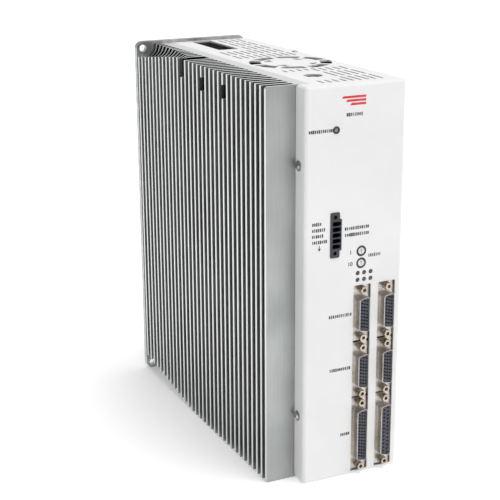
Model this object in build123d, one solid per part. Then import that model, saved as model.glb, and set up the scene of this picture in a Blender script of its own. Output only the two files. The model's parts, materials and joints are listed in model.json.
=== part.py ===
from build123d import *
import os
from math import radians, sqrt, tan

# Servo drive in a tall, narrow cabinet that bolts to a wall by its rear plate.
# Drawing origin: the cover's lower left front corner. X runs right, Y to the back, Z up.
# The saved parts are moved so that the middle of the whole base is the origin.

# ---- driving dimensions, millimetres ----
COVER_W = 73.0
HEIGHT = 270.0
SHEET = 1.2
BEND = 2.5
WRAP = 13.0
FIN_DEPTH = 21.0
FIN_TIP = 2.2
FIN_ROOT = 3.0
FIN_FIRST = 21.4
FIN_PITCH = 7.24
FIN_COUNT = 31
SINK_FRONT = 13.4
BASE = 9.0
PLATE_FRONT = 242.0
PLATE = 5.0
PLATE_RIGHT = 72.5
PLATE_TOP = 272.4
PORT_REACH = 4.0
BACK = PLATE_FRONT + PLATE
CENTRE_X = (COVER_W - FIN_DEPTH) / 2
CENTRE_Y = (BACK - PORT_REACH) / 2
GAP = 0.05

# Holes for fastening the drive to a wall
WALL_HOLE_R = 2.75
WALL_HOLE_X = -15.8
WALL_HOLE_Z = (5.0, 267.0)

# Circuit boards stand upright, parallel to the heat sink
BOARD = 1.6
POWER_X = 14.8
CONTROL_X = 34.4
IO_X = 53.2
BOARD_TOP = 244.0

# Fan below the top sheet
FAN_X = 41.5
FAN_Y = 102.0
FAN_SIDE = 60.0
FAN_H = 20.0
FAN_TOP = HEIGHT - SHEET - 0.4
FAN_BORE = 28.8
FAN_HUB = 12.0
FAN_BLADES = 7
FAN_BOLT = 25.0

# Ventilation slots in the top and bottom sheets
SLOT_W = 1.9
SLOT_PITCH = 5.4
SLOT_X = 18.7
WINDOW = (23.5, 39.5, 184.0, 239.0)
ROUND_HOLE = (27.1, 41.3, 6.4)

# Front panel features
HEADER_X = 21.8
HEADER_Z = 172.75
HEADER_PITCH = 3.81
HEADER_POLES = 5
HEADER_NUT = 12.1
HEADER_SIZE = (6.6, 30.2)
HEADER_KEY = (1.5, 20.8)
SUPPLY_LIGHT = (21.9, 241.5, 1.7)
LAMP_COLLAR_R = 2.4
SELECTOR_X = 41.8
SELECTOR_Z = {"units": 159.7, "tens": 151.5}
SELECTOR_HOLE = 3.75
LIGHT_XS = (39.4, 44.3, 49.2)
LIGHT_ZS = (144.7, 140.1)
LIGHT_HOLE = 1.6
CUTOUTS = ((36.5, 49.6, 1.9, 136.3), (55.2, 68.3, 1.9, 136.3))

# D-shaped ports: name, centre X, board face, centre Z, screw spacing, D length, pins in each row
SMALL = (33.32, 24.66, 39.14)
LARGE = (47.04, 38.38, 53.04)
LEFT = (43.2, CONTROL_X + BOARD)
RIGHT = (62.0, IO_X + BOARD)
PORTS = (
    ("left_top", LEFT, 116.3, SMALL, (9, 9, 8)),
    ("left_middle", LEFT, 76.0, SMALL, (9, 9, 8)),
    ("left_bottom", LEFT, 29.1, LARGE, (15, 15, 14)),
    ("right_top", RIGHT, 116.3, SMALL, (9, 9, 8)),
    ("right_middle", RIGHT, 76.0, SMALL, (9, 9, 8)),
    ("right_bottom", RIGHT, 29.1, LARGE, (13, 12)),
)
FLANGE_W = 12.55
FLANGE_FRONT = 2.0
D_WIDTH = 7.9
D_CORNER = 1.8
D_WALL = 0.45
D_LIP = 0.5
JACK_FLATS = 4.75
JACK_R = JACK_FLATS / sqrt(3)
JACK_THREAD = 1.2

START = (Align.CENTER, Align.CENTER, Align.MIN)
TURN = {
    "+X": Rot(0, 90, 0),
    "-X": Rot(0, -90, 0),
    "+Y": Rot(-90, 0, 0),
    "-Y": Rot(90, 0, 0),
    "+Z": Rot(0, 0, 0),
    "-Z": Rot(180, 0, 0),
}


def block(x0, x1, y0, y1, z0, z1):
    """Box between two corners."""
    return Pos((x0 + x1) / 2, (y0 + y1) / 2, (z0 + z1) / 2) * Box(x1 - x0, y1 - y0, z1 - z0)


def rod(point, radius, length, way):
    """Cylinder that starts at a point and runs one way along an axis."""
    return Pos(*point) * TURN[way] * Cylinder(radius, length, align=START)


def hexagon(point, radius, length, way):
    """Six-sided bar, with the radius across its corners."""
    return Pos(*point) * TURN[way] * extrude(RegularPolygon(radius, 6), amount=length)


def group(pieces):
    """Separate solids kept together in one part."""
    return Compound(children=list(pieces))


def screw(seat, way, head_r, head_h, shank_r, shank_l):
    """Pan-head screw with a cross recess: its head stands out along way, its shank goes in."""
    head = Cylinder(head_r, head_h, align=START)
    head = fillet(head.edges().group_by(Axis.Z)[-1], head_h * 0.45)
    shank = Pos(0, 0, -shank_l) * Cylinder(shank_r, shank_l, align=START)
    arm, thick, bite = head_r * 1.1, head_r * 0.28, head_h * 0.6
    cross = Box(arm, thick, head_h, align=START) + Box(thick, arm, head_h, align=START)
    return Pos(*seat) * TURN[way] * (head + shank - Pos(0, 0, head_h - bite) * cross)


def save(name, shape):
    """Write one part in the row frame."""
    export_step(Pos(-CENTRE_X, -CENTRE_Y, 0) * shape, f"parts/{name}.step")


# ---- heat sink and rear plate ----


# Tie screws between the fins: fin index, height of the screw, bottom and top of the notch
TIE_SCREWS = (
    (8, 257.2, 252.6, 262.0),
    (13, 257.2, 252.6, 262.0),
    (18, 261.0, 257.2, HEIGHT + 1),
)
PLATE_SCREW_ZS = (35.0, 100.0, 170.0, 235.0)
BRACKET_SCREW_ZS = (60.0, 135.0, 205.0)
BRACKET_SCREW_X = 6.4


def fin_y(index):
    """Centre of one fin."""
    return FIN_FIRST + index * FIN_PITCH


def heat_sink():
    """Extruded aluminium: a thick base with a comb of upright fins, and a flat fin facing front."""
    profile = Pos(BASE / 2, (SINK_FRONT + PLATE_FRONT) / 2) * Rectangle(BASE, PLATE_FRONT - SINK_FRONT)
    root = 0.2
    profile += Pos((root - FIN_DEPTH) / 2, SINK_FRONT + FIN_TIP / 2) * Rectangle(FIN_DEPTH + root, FIN_TIP)
    for index in range(FIN_COUNT):
        y = fin_y(index)
        tip, foot = FIN_TIP / 2, FIN_ROOT / 2
        corners = [(root, y - foot), (-FIN_DEPTH, y - tip), (-FIN_DEPTH, y + tip), (root, y + foot)]
        profile += make_face(Polyline(*corners, close=True))
    sink = extrude(profile, amount=HEIGHT)
    # Rounded outer corners of the front fin
    corners = sink.edges().filter_by(Axis.Y).group_by(Axis.X)[0].group_by(Axis.Y)[0]
    sink = fillet(corners, 1.6)
    # Screwdriver notches, one fin each, on the way to the tie screws
    for index, z, low, high in TIE_SCREWS:
        y = fin_y(index)
        sink -= block(-FIN_DEPTH - 1, 0, y - FIN_ROOT, y + FIN_ROOT, low, high)
        sink -= rod((-1, y, z), 2.1, BASE + 2, "+X")
    # Tilted screwdriver paths to the two wall holes
    for z, tilt in ((WALL_HOLE_Z[0], 8.0), (WALL_HOLE_Z[1] + 2.0, -7.0)):
        path = Cylinder(10, 150, align=START)
        sink -= Pos(WALL_HOLE_X, PLATE_FRONT + 2, z) * Rot(90 + tilt, 0, 0) * path
    # Tapped holes for the rear plate's screws and the front bracket's screws
    for z in PLATE_SCREW_ZS:
        sink -= rod((BASE / 2, PLATE_FRONT + 1, z), 2.5, 16, "-Y")
    for z in BRACKET_SCREW_ZS:
        sink -= rod((BRACKET_SCREW_X, SINK_FRONT - 1, z), 1.5, 10, "+Y")
    return sink


def rear_plate():
    """Wall plate: rounded left corners, a cut upper right corner and two wall holes."""
    width = PLATE_RIGHT + FIN_DEPTH
    plate = block(-FIN_DEPTH, PLATE_RIGHT, PLATE_FRONT, BACK, 0, PLATE_TOP)
    edges = plate.edges().filter_by(Axis.Y).group_by(Axis.X)
    plate = fillet(edges[0], 5.5)
    plate = chamfer(plate.edges().filter_by(Axis.Y).group_by(Axis.X)[-1].sort_by(Axis.Z)[-1], 4.5)
    for z in WALL_HOLE_Z:
        plate -= rod((WALL_HOLE_X, PLATE_FRONT - 1, z), WALL_HOLE_R, PLATE + 2, "+Y")
    for z in PLATE_SCREW_ZS:
        plate -= rod((BASE / 2, PLATE_FRONT - 1, z), 2.7, PLATE + 2, "+Y")
        plate -= rod((BASE / 2, BACK + 1, z), 5.2, 4.6, "-Y")
    return plate


def rear_plate_screws():
    """Low cap screws, sunk flush with the wall face."""
    pieces = []
    for z in PLATE_SCREW_ZS:
        head = rod((BASE / 2, BACK - 0.3, z), 4.9, 3.2, "-Y")
        shank = rod((BASE / 2, BACK - 3.5, z), 2.45, 14, "-Y")
        socket = hexagon((BASE / 2, BACK, z), 1.8, 2.2, "-Y")
        pieces.append(head + shank - socket)
    return group(pieces)


# ---- cover ----


SIDE_SCREW = (68.8, 148.0)


def vent_slots():
    """Outline of the punched slots in the top sheet, in rows that leave room for the other openings."""
    rows = (
        (11, 21, range(0, 4)),
        (11, 30, range(4, 9)),
        (33, 53, range(4, 9)),
        (62, 70, range(0, 4)),
        (57, 70, range(4, 9)),
        (133, 150, range(0, 9)),
        (153, 172, range(0, 9)),
        (175, 194, range(5, 9)),
        (197, 216, range(5, 9)),
        (219, 237, range(5, 9)),
    )
    slots = []
    for low, high, columns in rows:
        for column in columns:
            place = Pos(SLOT_X + column * SLOT_PITCH, (low + high) / 2)
            slots.append(place * SlotOverall(high - low, SLOT_W, rotation=90))
    return slots


def ring(outer, inner):
    """Flat ring."""
    return Circle(outer) - Circle(inner)


def fan_grille():
    """Punched grille: eight outer arcs between narrow spokes, and four short arcs on the diagonals."""
    outer = ring(29.2, 21.0)
    for turn in range(0, 180, 45):
        outer -= Rot(0, 0, turn) * Rectangle(60, 3.4)
    inner = ring(18.7, 13.4)
    for turn in (0, 90):
        inner -= Rot(0, 0, turn) * Rectangle(60, 18)
    return [Pos(FAN_X, FAN_Y) * face for face in (*outer.faces(), *inner.faces())]


def window():
    """Opening over the power terminals."""
    x0, x1, y0, y1 = WINDOW
    return Pos((x0 + x1) / 2, (y0 + y1) / 2) * RectangleRounded(x1 - x0, y1 - y0, 0.6)


def front_openings():
    """Openings in the front panel, drawn on the panel's own plane."""
    x, z, _ = SUPPLY_LIGHT
    shapes = [Pos(x, z) * Circle(LAMP_COLLAR_R + 0.1)]
    (width, length), (key, key_length) = HEADER_SIZE, HEADER_KEY
    shapes.append(Pos(HEADER_X, HEADER_Z) * RectangleRounded(width + 0.3, length + 0.2, 0.9))
    shapes.append(Pos(HEADER_X + width / 2 + key / 2, HEADER_Z) * Rectangle(key + 0.4, key_length + 0.3))
    for selector_z in SELECTOR_Z.values():
        shapes.append(Pos(SELECTOR_X, selector_z) * Circle(SELECTOR_HOLE))
    for light_x in LIGHT_XS:
        for light_z in LIGHT_ZS:
            shapes.append(Pos(light_x, light_z) * Circle(LIGHT_HOLE))
    for x0, x1, z0, z1 in CUTOUTS:
        shapes.append(Pos((x0 + x1) / 2, (z0 + z1) / 2) * RectangleRounded(x1 - x0, z1 - z0, 0.8))
    return shapes


def punch(shapes, depth):
    """Cutting bodies that go through a sheet."""
    return [extrude(shape, amount=depth, both=True) for shape in shapes]


COVER_SCREW_Y = 9.0
COVER_SCREW_ZS = (47.3, 219.0)
WASHER_R = 3.5
WASHER = 0.5


def front_cover():
    """Folded and powder-coated sheet: front panel, top, bottom, and a return at each side."""
    inset = SHEET
    shell = block(0, COVER_W, 0, PLATE_FRONT - 0.3, 0, HEIGHT)
    left_edges = shell.edges().filter_by(Axis.Y).group_by(Axis.X)[0]
    shell = fillet([*shell.faces().sort_by(Axis.Y)[0].edges(), *left_edges], BEND)
    hollow = block(inset, COVER_W - inset, inset, PLATE_FRONT + 1, inset, HEIGHT - inset)
    left_edges = hollow.edges().filter_by(Axis.Y).group_by(Axis.X)[0]
    hollow = fillet([*hollow.faces().sort_by(Axis.Y)[0].edges(), *left_edges], BEND - inset)
    cover = shell - hollow
    # Open left side behind the return, where the heat sink's base closes the cabinet
    cover -= block(-1, BASE + 0.05, SINK_FRONT - 0.2, PLATE_FRONT + 1, -1, HEIGHT + 1)
    # Open right side behind the return, where the side cover goes
    cover -= block(COVER_W - inset - 0.01, COVER_W + 1, WRAP, PLATE_FRONT + 1, inset, HEIGHT - inset)
    # Down-turned lug behind the heat sink's base, tapped for the tie screws
    cover += block(BASE + 0.05, BASE + 0.05 + SHEET, 72, 158, 252, HEIGHT - inset / 2)
    for index, z, _, _ in TIE_SCREWS:
        cover -= rod((BASE - 1, fin_y(index), z), 1.7, 4, "+X")
    for z in COVER_SCREW_ZS:
        cover -= rod((-1, COVER_SCREW_Y, z), 1.7, 3, "+X")
    cuts = [Pos(0, 0, HEIGHT) * body for body in punch([*vent_slots(), *fan_grille(), window()], 2)]
    cuts += punch([*vent_slots(), window()], 2)
    cuts += [Pos(0, 0, z) * body for z in (0, HEIGHT) for body in punch([Pos(*SIDE_SCREW) * Circle(1.6)], 2)]
    x, y, r = ROUND_HOLE
    cuts.append(rod((x, y, HEIGHT - 2), r, 4, "+Z"))
    cuts += [Rot(90, 0, 0) * body for body in punch(front_openings(), 2)]
    cover = cover.cut(*cuts)
    # Holes for the pressed-in fan studs
    for x, y in fan_corners():
        cover -= rod((x, y, HEIGHT - 0.6), 1.5, 2, "-Z")
    return cover


def side_cover():
    """Right-hand sheet with a lip under the top sheet and over the bottom sheet."""
    face = COVER_W - SHEET
    low, high = SHEET + 0.1, HEIGHT - SHEET - 0.1
    cover = block(face, COVER_W, WRAP + 0.3, PLATE_FRONT - 0.3, low, high)
    for z0, z1 in ((low, low + SHEET), (high - SHEET, high)):
        cover += block(face - 7, face + SHEET / 2, 136, 234, z0, z1)
        cover += block(face - 7, face + SHEET / 2, WRAP + 6, 66, z0, z1)
    for z in (low - 1, high - 3):
        cover -= rod((*SIDE_SCREW, z), 1.3, 4, "+Z")
    outer = cover.edges().filter_by(Axis.Y).group_by(Axis.X)[-1]
    return fillet(outer, SHEET * 0.8)


def side_cover_screws():
    """One small screw through each of the top and bottom sheets."""
    x, y = SIDE_SCREW
    upper = screw((x, y, HEIGHT), "+Z", 2.2, 0.9, 1.25, 5)
    lower = rod((x, y, 0.25), 1.5, 0.9, "+Z") + rod((x, y, 0.5), 1.25, 5, "+Z")
    return group([upper, lower])


def cover_screws():
    """Two screws with captive washers through the left return into the front bracket."""
    pieces = []
    for z in COVER_SCREW_ZS:
        washer = rod((0, COVER_SCREW_Y, z), WASHER_R, WASHER, "-X")
        pieces.append(washer + screw((-WASHER, COVER_SCREW_Y, z), "-X", 2.6, 1.5, 1.45, 8 + WASHER))
    return group(pieces)


def front_bracket():
    """Steel angle that ties the cover's left return to the heat sink's front face."""
    front = SINK_FRONT - 1.6
    bracket = block(1.35, 3.35, 4.5, front + 1.55, 30, 240)
    bracket += block(1.35, BASE + 3, front, front + 1.55, 30, 240)
    for z in COVER_SCREW_ZS:
        bracket -= rod((0, COVER_SCREW_Y, z), 1.5, 5, "+X")
    for z in BRACKET_SCREW_ZS:
        bracket -= rod((BRACKET_SCREW_X, front - 1, z), 1.6, 4, "+Y")
    return bracket


def bracket_screws():
    """Three screws from the bracket into the heat sink's front face."""
    seat = SINK_FRONT - 1.6
    return [screw((BRACKET_SCREW_X, seat, z), "-Y", 2.6, 1.6, 1.45, 8) for z in BRACKET_SCREW_ZS]


def tie_screws():
    """Screws between the fins, through the heat sink's base into the cover's lug, and the bracket's."""
    reach = BASE + SHEET + 0.5
    pieces = [screw((0, fin_y(index), z), "-X", 3.2, 2.2, 1.6, reach) for index, z, _, _ in TIE_SCREWS]
    return group(pieces + bracket_screws())


# ---- fan ----


def fan_corners():
    """Fixing points of the fan."""
    return [(FAN_X + a * FAN_BOLT, FAN_Y + b * FAN_BOLT) for a in (-1, 1) for b in (-1, 1)]


FAN_LOW = FAN_TOP - FAN_H
STATOR_FLOOR = FAN_LOW + 2.2


def fan_frame():
    """Square venturi frame: a motor seat on four struts at its lower side."""
    half = FAN_SIDE / 2
    frame = block(FAN_X - half, FAN_X + half, FAN_Y - half, FAN_Y + half, FAN_LOW, FAN_TOP)
    frame = fillet(frame.edges().filter_by(Axis.Z), 4)
    frame -= rod((FAN_X, FAN_Y, FAN_LOW - 1), FAN_BORE, FAN_H + 2, "+Z")
    frame += rod((FAN_X, FAN_Y, FAN_LOW), 13.0, 2.0, "+Z")
    for turn in range(45, 405, 90):
        strut = Pos(20, 0, FAN_LOW + 1.0) * Box(20, 3.0, 2.0)
        frame += Pos(FAN_X, FAN_Y, 0) * Rot(0, 0, turn) * strut
    # Bearing tube
    frame += rod((FAN_X, FAN_Y, FAN_LOW), 4.6, 12.0, "+Z")
    frame -= rod((FAN_X, FAN_Y, FAN_LOW + 1.0), 3.55, 12, "+Z")
    for x, y in fan_corners():
        frame -= rod((x, y, FAN_LOW - 1), 2.15, FAN_H + 2, "+Z")
        frame -= rod((x, y, FAN_LOW + 3), 4.2, FAN_H - 6, "+Z")
    return frame


def fan_rotor():
    """Hub cup with seven pitched blades."""
    top = FAN_TOP - 1.0
    low = STATOR_FLOOR + 0.8
    hub = rod((0, 0, low), FAN_HUB, top - low, "+Z")
    hub = fillet(hub.edges().group_by(Axis.Z)[-1], 1.2)
    hub -= rod((0, 0, low - 1), 10.6, top - low - 0.4, "+Z")
    hub += rod((0, 0, top - 4.5), 2.6, 4.0, "+Z")
    sweep_zone = rod((0, 0, low), FAN_BORE - 0.8, top - low - 1.0, "+Z")
    for index in range(FAN_BLADES):
        blade = Box(18, 1.2, 20.0)
        blade = Rot(0, 0, 360 / FAN_BLADES * index) * Pos(19.9, 0, (low + top) / 2) * Rot(48, 0, 0) * blade
        hub += blade & sweep_zone
    rotor = Pos(FAN_X, FAN_Y, 0) * hub
    return rotor - rod((FAN_X, FAN_Y, top - 6), 1.5, 4.6, "+Z")


def fan_shaft():
    """Steel shaft, pressed into the hub."""
    low = FAN_LOW + 1.6
    return rod((FAN_X, FAN_Y, low), 1.5, FAN_TOP - 1.0 - 1.4 - low, "+Z")


def fan_bearings():
    """Two small ball bearings, drawn as rings, in the bearing tube."""
    pieces = []
    for z in (FAN_LOW + 2.2, FAN_LOW + 8.4):
        pieces.append(rod((FAN_X, FAN_Y, z), 3.5, 2.6, "+Z") - rod((FAN_X, FAN_Y, z - 1), 1.54, 5, "+Z"))
    return group(pieces)


def fan_stator():
    """Laminated core with four poles, their coils and a small driver board."""
    z = STATOR_FLOOR + 3.2
    core = rod((0, 0, z), 6.2, 5, "+Z")
    for turn in range(0, 360, 90):
        pole = Pos(7.2, 0, z + 2.5) * Box(4.6, 3.0, 5)
        shoe = Pos(9.2, 0, z + 2.5) * Box(1.4, 9.0, 5)
        core += Rot(0, 0, turn) * (pole + shoe)
    core = core & rod((0, 0, z), 10.2, 5, "+Z")
    return Pos(FAN_X, FAN_Y, 0) * (core - rod((0, 0, z - 1), 4.65, 8, "+Z"))


def fan_studs():
    """Threaded studs pressed into the top sheet."""
    return group(rod((x, y, HEIGHT - 0.65), 1.45, FAN_H + 4.4, "-Z") for x, y in fan_corners())


def fan_nuts():
    """Nuts under the fan's corners."""
    pieces = []
    for x, y in fan_corners():
        nut = hexagon((x, y, FAN_LOW - 0.05), 3.1, 2.4, "-Z")
        pieces.append(nut - rod((x, y, FAN_LOW + 1), 1.5, 5, "-Z"))
    return group(pieces)


# ---- boards and what stands on them ----


POSTS = ((20.0, 18.0), (20.0, 226.0), (112.0, 18.0), (112.0, 226.0))
POST_R = 2.9


def board(x, y0, y1, z0, z1, holes):
    """Upright circuit board with round fixing holes."""
    sheet = block(x, x + BOARD, y0, y1, z0, z1)
    for y, z in holes:
        sheet -= rod((x - 1, y, z), 1.6, BOARD + 2, "+X")
    return sheet


def power_board():
    return board(POWER_X, 6, 238, 8, BOARD_TOP, POSTS)


def control_board():
    return board(CONTROL_X, 3, 118, 3, BOARD_TOP, POSTS)


def io_board():
    return board(IO_X, 3, 118, 3, BOARD_TOP, POSTS)


def board_posts():
    """Hexagonal spacers: the lower ones reach through the boards into the upper ones."""
    pieces = []
    for y, z in POSTS:
        lower = hexagon((POWER_X + BOARD, y, z), POST_R, CONTROL_X - POWER_X - BOARD, "+X")
        lower += rod((CONTROL_X, y, z), 1.25, BOARD + 4, "+X")
        lower += rod((POWER_X + BOARD, y, z), 1.25, BOARD + 1.2, "-X")
        upper = hexagon((CONTROL_X + BOARD, y, z), POST_R, IO_X - CONTROL_X - BOARD, "+X")
        upper -= rod((CONTROL_X + BOARD - 1, y, z), 1.3, 6, "+X")
        upper -= rod((IO_X + 1, y, z), 1.3, 7, "-X")
        pieces += [lower, upper]
    return group(pieces)


def board_screws():
    """Screws through the input and output board into the spacers."""
    return group(screw((IO_X + BOARD, y, z), "+X", 2.4, 1.6, 1.25, 6) for y, z in POSTS)


def board_link():
    """Plug-and-socket strip between the two signal boards."""
    low, high = CONTROL_X + BOARD + GAP, IO_X - GAP
    strip = block(low, high, 70, 75, 165, 205)
    return chamfer(strip.edges().filter_by(Axis.X), 0.5)


MODULES = ((60.0, 100.0, 60.0, 139.0), (60.0, 100.0, 150.0, 225.0), (150.0, 190.0, 105.0, 184.0))
MODULE_H = 5.2


def thermal_pads():
    """Soft pads between the modules and the heat sink."""
    pieces = [block(BASE + 0.02, BASE + 0.3, y0 + 1, y1 - 1, z0 + 1, z1 - 1) for y0, y1, z0, z1 in MODULES]
    return group(pieces)


def power_modules():
    """Flat moulded power modules on the pads."""
    pieces = []
    for y0, y1, z0, z1 in MODULES:
        body = block(BASE + 0.32, BASE + 0.32 + MODULE_H, y0, y1, z0, z1)
        body = chamfer(body.faces().sort_by(Axis.X)[-1].edges(), 0.8)
        for z in (z0 + 4, z1 - 4):
            body -= rod((BASE, (y0 + y1) / 2, z), 1.8, MODULE_H + 2, "+X")
        pieces.append(body)
    return group(pieces)


CAP_R = 17.0
CAP_PLACES = [(y, z) for y in (143.0, 179.0, 215.0) for z in (68.0, 104.0, 140.0)]


def bus_capacitors():
    """Aluminium can capacitors, standing on the power board."""
    low = POWER_X + BOARD + GAP
    pieces = []
    for y, z in CAP_PLACES:
        can = rod((low, y, z), CAP_R, 45, "+X")
        can = fillet(can.edges().group_by(Axis.X)[-1], 1.2)
        groove = rod((low + 4, y, z), CAP_R + 1, 1.6, "+X") - rod((low + 3, y, z), CAP_R - 0.9, 4, "+X")
        pieces.append(can - groove)
    return group(pieces)


CHOKE = (195.0, 185.0)


def choke_core():
    """Ferrite ring of the input choke."""
    low = POWER_X + BOARD + 3
    core = rod((low, *CHOKE), 16, 12, "+X") - rod((low - 1, *CHOKE), 9, 14, "+X")
    return fillet(core.edges().filter_by(GeomType.CIRCLE), 0.8)


def choke_winding():
    """Turns of enamelled wire around the ring."""
    x0 = POWER_X + BOARD + 1.2
    x1 = x0 + 15.6
    turn = block(x0, x1, -0.8, 0.8, 7.2, 17.8) - block(x0 + 1.6, x1 - 1.6, -2, 2, 8.8, 16.2)
    turns = [Pos(0, *CHOKE) * Rot(angle, 0, 0) * turn for angle in range(0, 360, 20)]
    return group(turns)


TRANSFORMER = (30.0, 54.0, 70.0, 98.0)


def transformer_core():
    """Two facing E cores."""
    y0, y1, z0, z1 = TRANSFORMER
    low = POWER_X + BOARD + GAP
    core = block(low, low + 15, y0, y1, z0, z1)
    core -= block(low - 1, low + 16, y0 + 4, y0 + 8.5, z0 + 5, z1 - 5)
    core -= block(low - 1, low + 16, y1 - 8.5, y1 - 4, z0 + 5, z1 - 5)
    return core


def transformer_winding():
    """Taped winding on the middle limb."""
    y0, y1, z0, z1 = TRANSFORMER
    low = POWER_X + BOARD + GAP
    coil = block(low + 0.5, low + 14.5, y0 + 4.6, y1 - 4.6, z0 + 5.6, z1 - 5.6)
    return coil - block(low - 1, low + 16, y0 + 8.3, y1 - 8.3, z0, z1)


def supply_relay():
    """Sealed inrush relay."""
    low = POWER_X + BOARD + GAP
    relay = block(low, low + 15.6, 30, 42.6, 195, 224)
    return chamfer(relay.edges(), 0.6)


def current_sensors():
    """Through-hole current sensors in two motor lines."""
    low = POWER_X + BOARD + GAP
    pieces = []
    for z in (28.0, 50.0):
        body = block(low, low + 14, 70, 92, z - 7, z + 7)
        pieces.append(body - rod((low + 7.5, 69, z), 4, 24, "+Y"))
    return group(pieces)


def terminal_place(top):
    """Range in Z of a power terminal block, at the top or the bottom of the cabinet."""
    return (228.0, 262.0) if top else (8.0, 42.0)


TERMINALS = 7
TERMINAL_PITCH = 7.62


def terminal_mid(index):
    """Centre in Y of one terminal."""
    return (WINDOW[2] + WINDOW[3]) / 2 + (index - (TERMINALS - 1) / 2) * TERMINAL_PITCH


def terminal_block(top):
    """Block of screw terminals with a wire hole and a screwdriver hole over each clamp."""
    z0, z1 = terminal_place(top)
    low = POWER_X + BOARD + GAP
    body = block(low, WINDOW[1] - 0.6, WINDOW[2] + 0.6, WINDOW[3] - 1.0, z0, z1)
    way = "-Z" if top else "+Z"
    mouth = z1 + 1 if top else z0 - 1
    for index in range(TERMINALS):
        y = terminal_mid(index)
        z_low, z_high = (z1 - 12, z1 + 1) if top else (z0 - 1, z0 + 12)
        body -= block(25.2, 30.8, y - 2.7, y + 2.7, z_low, z_high)
        body -= rod((35, y, mouth), 2.3, 13, way)
    return body


def terminal_clamps(top):
    """Metal clamp and screw at the bottom of each terminal."""
    z0, z1 = terminal_place(top)
    pieces = []
    for index in range(TERMINALS):
        y = terminal_mid(index)
        z = z1 - 9 if top else z0 + 6
        cage = block(25.4, 30.6, y - 2.5, y + 2.5, z - 2.8, z + 5.8)
        cage -= block(26.2, 29.8, y - 1.7, y + 1.7, z - 3, z + 6)
        head = rod((35, y, z - 2.8), 2.1, 4.0, "+Z")
        slit_z = z + 0.2 if top else z - 3
        head -= block(32, 38, y - 0.4, y + 0.4, slit_z, slit_z + 1.2)
        pieces += [cage, head]
    return group(pieces)


def earth_terminal():
    """Brass earth stud on a foot, reached through the round hole."""
    x, y, _ = ROUND_HOLE
    foot = block(BASE + 0.05, x + 6, y - 5, y + 5, 256, 259)
    nut = hexagon((x, y, 259), 5.6, 8.6, "+Z")
    stud = rod((x, y, 259), 2.5, 10.2, "+Z")
    stud = chamfer(stud.edges().group_by(Axis.Z)[-1], 0.5)
    return foot + nut + stud


# ---- front panel parts ----


HEADER_FRONT = -0.6
HEADER_WALL = 1.2


def header_pin_zs():
    """Heights of the header's pins."""
    return [HEADER_Z + (index - (HEADER_POLES - 1) / 2) * HEADER_PITCH for index in range(HEADER_POLES)]


def header_body():
    """Header with a square cell and a keyway for each pin, and a nut behind each end."""
    (width, length), (key, key_length) = HEADER_SIZE, HEADER_KEY
    right = HEADER_X + width / 2
    low, high = HEADER_Z - length / 2, HEADER_Z + length / 2
    body = block(right - width, right, HEADER_FRONT, 10, low, high)
    body = fillet(body.edges().filter_by(Axis.Y), 0.9)
    key_low, key_high = HEADER_Z - key_length / 2, HEADER_Z + key_length / 2
    body += block(right - 0.1, right + key - 0.1, HEADER_FRONT, 10, key_low, key_high)
    body += block(POWER_X + BOARD + GAP, right, 2, 10, low, high)
    for z in header_pin_zs():
        body -= block(19.9, 24.4, HEADER_FRONT - 1, 7.4, z - 1.5, z + 1.5)
        body -= block(24.3, 25.9, HEADER_FRONT - 1, 7.4, z - 1.2, z + 1.2)
        body -= rod((21.9, 7, z), 0.75, 4, "+Y")
    for side in (-1, 1):
        at = HEADER_Z + side * HEADER_NUT
        body -= rod((HEADER_X, HEADER_FRONT - 1, at), 1.35, 4, "+Y")
        body -= rod((HEADER_X, HEADER_FRONT + HEADER_WALL, at), 2.42, 7, "+Y")
    return body


def header_pins():
    """Square pins."""
    pieces = [block(21.4, 22.4, 3.6, 10.5, z - 0.5, z + 0.5) for z in header_pin_zs()]
    return group(pieces)


def header_nuts():
    """Brass nuts for the plug's two screws."""
    pieces = []
    for side in (-1, 1):
        z = HEADER_Z + side * HEADER_NUT
        nut = rod((HEADER_X, HEADER_FRONT + HEADER_WALL + GAP, z), 2.4, 6, "+Y")
        pieces.append(nut - rod((HEADER_X, HEADER_FRONT - 1, z), 1.25, 7.5, "+Y"))
    return group(pieces)


SELECTOR_R = 2.2


def selector_bodies():
    """Rotary switch bodies, each with a collar that fills the panel's hole."""
    pieces = []
    for z in SELECTOR_Z.values():
        body = block(CONTROL_X + BOARD + GAP, SELECTOR_X + 4.6, 1.7, 9, z - 3.95, z + 3.95)
        body += rod((SELECTOR_X, 0.2, z), SELECTOR_HOLE - 0.1, 2.5, "+Y")
        body -= rod((SELECTOR_X, -1, z), SELECTOR_R + 0.05, 6, "+Y")
        pieces.append(body)
    return group(pieces)


def selector_rotor(z):
    """Round rotor with an arrow-shaped screwdriver slot that points up at zero."""
    rotor = rod((SELECTOR_X, -0.05, z), SELECTOR_R, 4.8, "+Y")
    rotor -= block(SELECTOR_X - 0.3, SELECTOR_X + 0.3, -1, 0.9, z - 1.7, z + 1.7)
    head = Polyline((-0.95, 0.5), (0.95, 0.5), (0, 1.9), close=True)
    arrow = extrude(Plane.XZ * make_face(head), amount=1.0, both=True)
    return rotor - Pos(SELECTOR_X, 0, z) * arrow


def light_pipes():
    """One clear moulding with a round light guide for each lamp."""
    x0, x1 = LIGHT_XS[0] - 2.4, LIGHT_XS[-1] + 2.4
    z0, z1 = LIGHT_ZS[1] - 2.2, LIGHT_ZS[0] + 2.2
    pipes = block(x0, x1, 3.4, 7.0, z0, z1)
    for x in LIGHT_XS:
        for z in LIGHT_ZS:
            pipes += rod((x, 0.45, z), LIGHT_HOLE - 0.15, 4, "+Y")
    return pipes


def status_lamps():
    """Small emitters behind the light guides, on one carrier strip for each row."""
    pieces = []
    for z in LIGHT_ZS:
        strip = block(CONTROL_X + BOARD + GAP, LIGHT_XS[-1] + 2, 8.4, 9.4, z - 1.6, z + 1.6)
        for x in LIGHT_XS:
            strip += block(x - 1, x + 1, 7.2, 8.5, z - 0.8, z + 0.8)
        pieces.append(strip)
    return group(pieces)


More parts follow.
